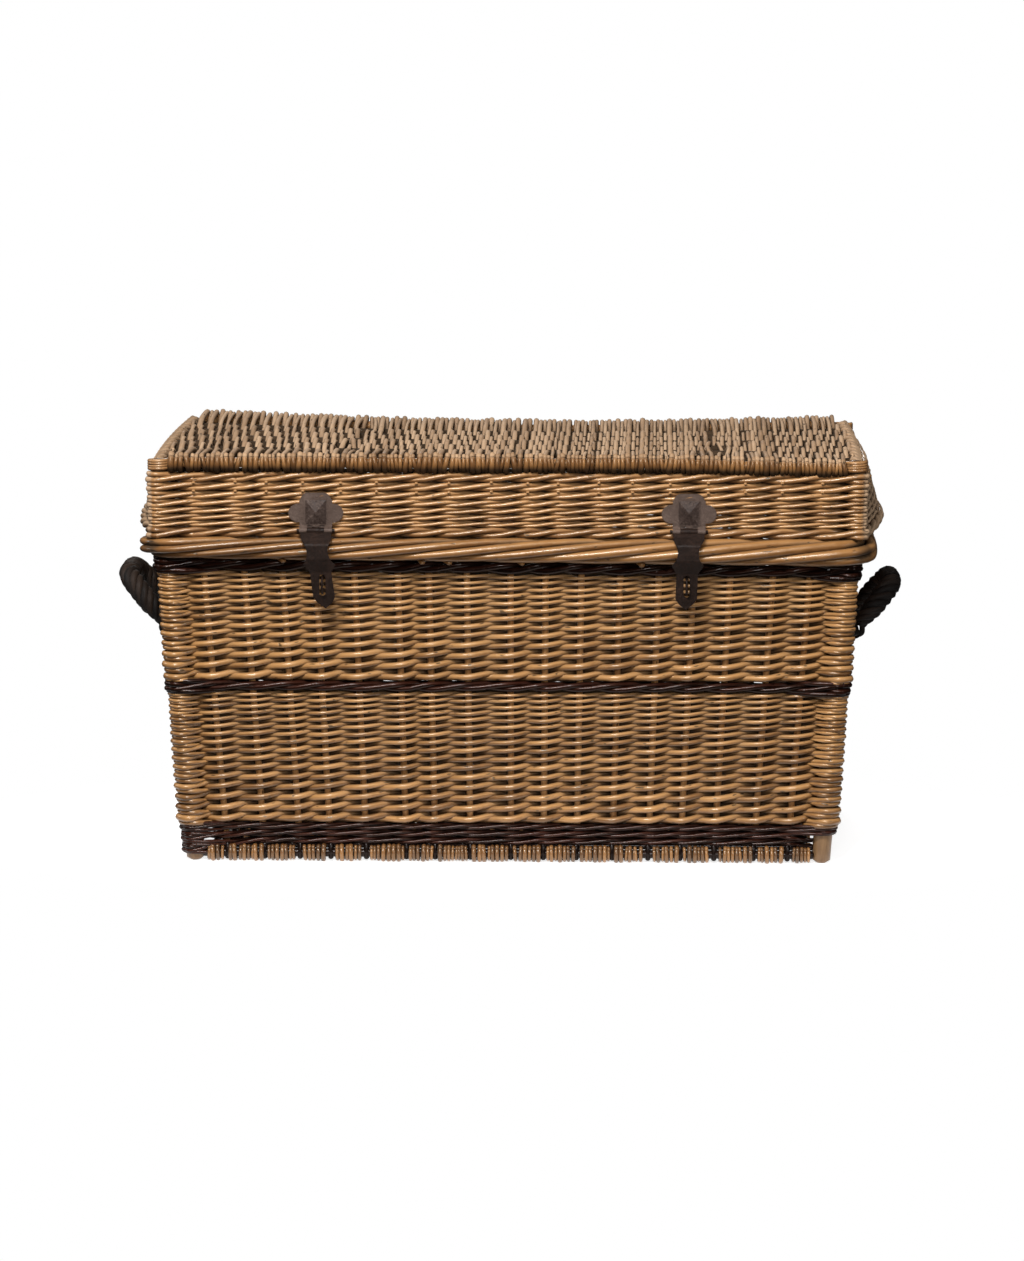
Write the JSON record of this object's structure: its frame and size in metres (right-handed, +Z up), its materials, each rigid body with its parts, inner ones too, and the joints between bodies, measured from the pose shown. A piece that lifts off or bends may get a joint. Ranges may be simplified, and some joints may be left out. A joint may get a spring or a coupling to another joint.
{
  "type": "laundry hamper with lid",
  "caption": "Woven willow trunk with leaning walls, a hinged basket lid, dark bands, rope border, metal hasps and rope end handles.",
  "frame": {"origin": "on the floor under the middle of the base", "axes": "+X to the right seen from the front, +Y to the back, +Z up"},
  "size_m": [0.9262, 0.5183, 0.475],
  "materials": {
    "willow_weave": "varnished, satin",
    "willow_lid_top": "weathered, matt",
    "willow_border": "varnished, satin",
    "willow_dark": "varnished, glossy",
    "willow_stakes": "varnished, satin",
    "willow_posts": "varnished, worn",
    "willow_base": "varnished, worn",
    "willow_rope": "satin",
    "iron": "brown patina"
  },
  "bodies": {
    "body": {"back_stakes": "willow_stakes", "base_edge_sticks": "willow_base", "base_sticks": "willow_base", "base_weave": "willow_base", "border": "willow_border", "bottom_wale": "willow_dark", "corner_post_back_left": "willow_posts", "corner_post_back_right": "willow_posts", "corner_post_front_left": "willow_posts", "corner_post_front_right": "willow_posts", "front_stakes": "willow_stakes", "handle_bar_left": "willow_rope", "handle_bar_right": "willow_rope", "hinge_rings": "willow_border", "left_stakes": "willow_stakes", "lower_weave_back": "willow_weave", "lower_weave_front": "willow_weave", "lower_weave_left": "willow_weave", "lower_weave_right": "willow_weave", "middle_wale": "willow_dark", "right_stakes": "willow_stakes", "staple_left": "iron", "staple_right": "iron", "top_wale": "willow_dark", "upper_weave_back": "willow_weave", "upper_weave_front": "willow_weave", "upper_weave_left": "willow_weave", "upper_weave_right": "willow_weave"},
    "lid": {"backing_plate_left": "iron", "backing_plate_right": "iron", "hasp_pin_left": "iron", "hasp_pin_right": "iron", "hasp_plate_left": "iron", "hasp_plate_right": "iron", "hasp_stud_left": "iron", "hasp_stud_right": "iron", "hinge_rail": "willow_border", "lid_back_stakes": "willow_stakes", "lid_edge_sticks": "willow_lid_top", "lid_front_stakes": "willow_stakes", "lid_left_stakes": "willow_stakes", "lid_post_back_left": "willow_posts", "lid_post_back_right": "willow_posts", "lid_post_front_left": "willow_posts", "lid_post_front_right": "willow_posts", "lid_right_stakes": "willow_stakes", "lid_rim": "willow_border", "lid_sticks": "willow_lid_top", "lid_top_weave": "willow_lid_top", "lid_weave_back": "willow_weave", "lid_weave_front": "willow_weave", "lid_weave_left": "willow_weave", "lid_weave_right": "willow_weave"},
    "hasp_left": {"hasp_strap_left": "iron"},
    "hasp_right": {"hasp_strap_right": "iron"},
    "handle_left": {"handle_left": "willow_rope"},
    "handle_right": {"handle_right": "willow_rope"}
  },
  "joints": [
    {"name": "lid_hinge", "type": "hinge", "parent": "body", "child": "lid", "pos_m": [0, 0.2465, 0.389], "axis": [-1, 0, 0], "range_deg": [0, 105]},
    {"name": "hasp_left_swing", "type": "hinge", "parent": "lid", "child": "hasp_left", "pos_m": [-0.216, -0.239, 0.388], "axis": [-1, 0, 0], "range_deg": [0, 105]},
    {"name": "hasp_right_swing", "type": "hinge", "parent": "lid", "child": "hasp_right", "pos_m": [0.206, -0.239, 0.388], "axis": [-1, 0, 0], "range_deg": [0, 105]},
    {"name": "handle_left_swing", "type": "hinge", "parent": "body", "child": "handle_left", "pos_m": [-0.4015, 0, 0.252], "axis": [0, -1, 0], "range_deg": [-25, 130]},
    {"name": "handle_right_swing", "type": "hinge", "parent": "body", "child": "handle_right", "pos_m": [0.4015, 0, 0.252], "axis": [0, 1, 0], "range_deg": [-25, 130]}
  ]
}
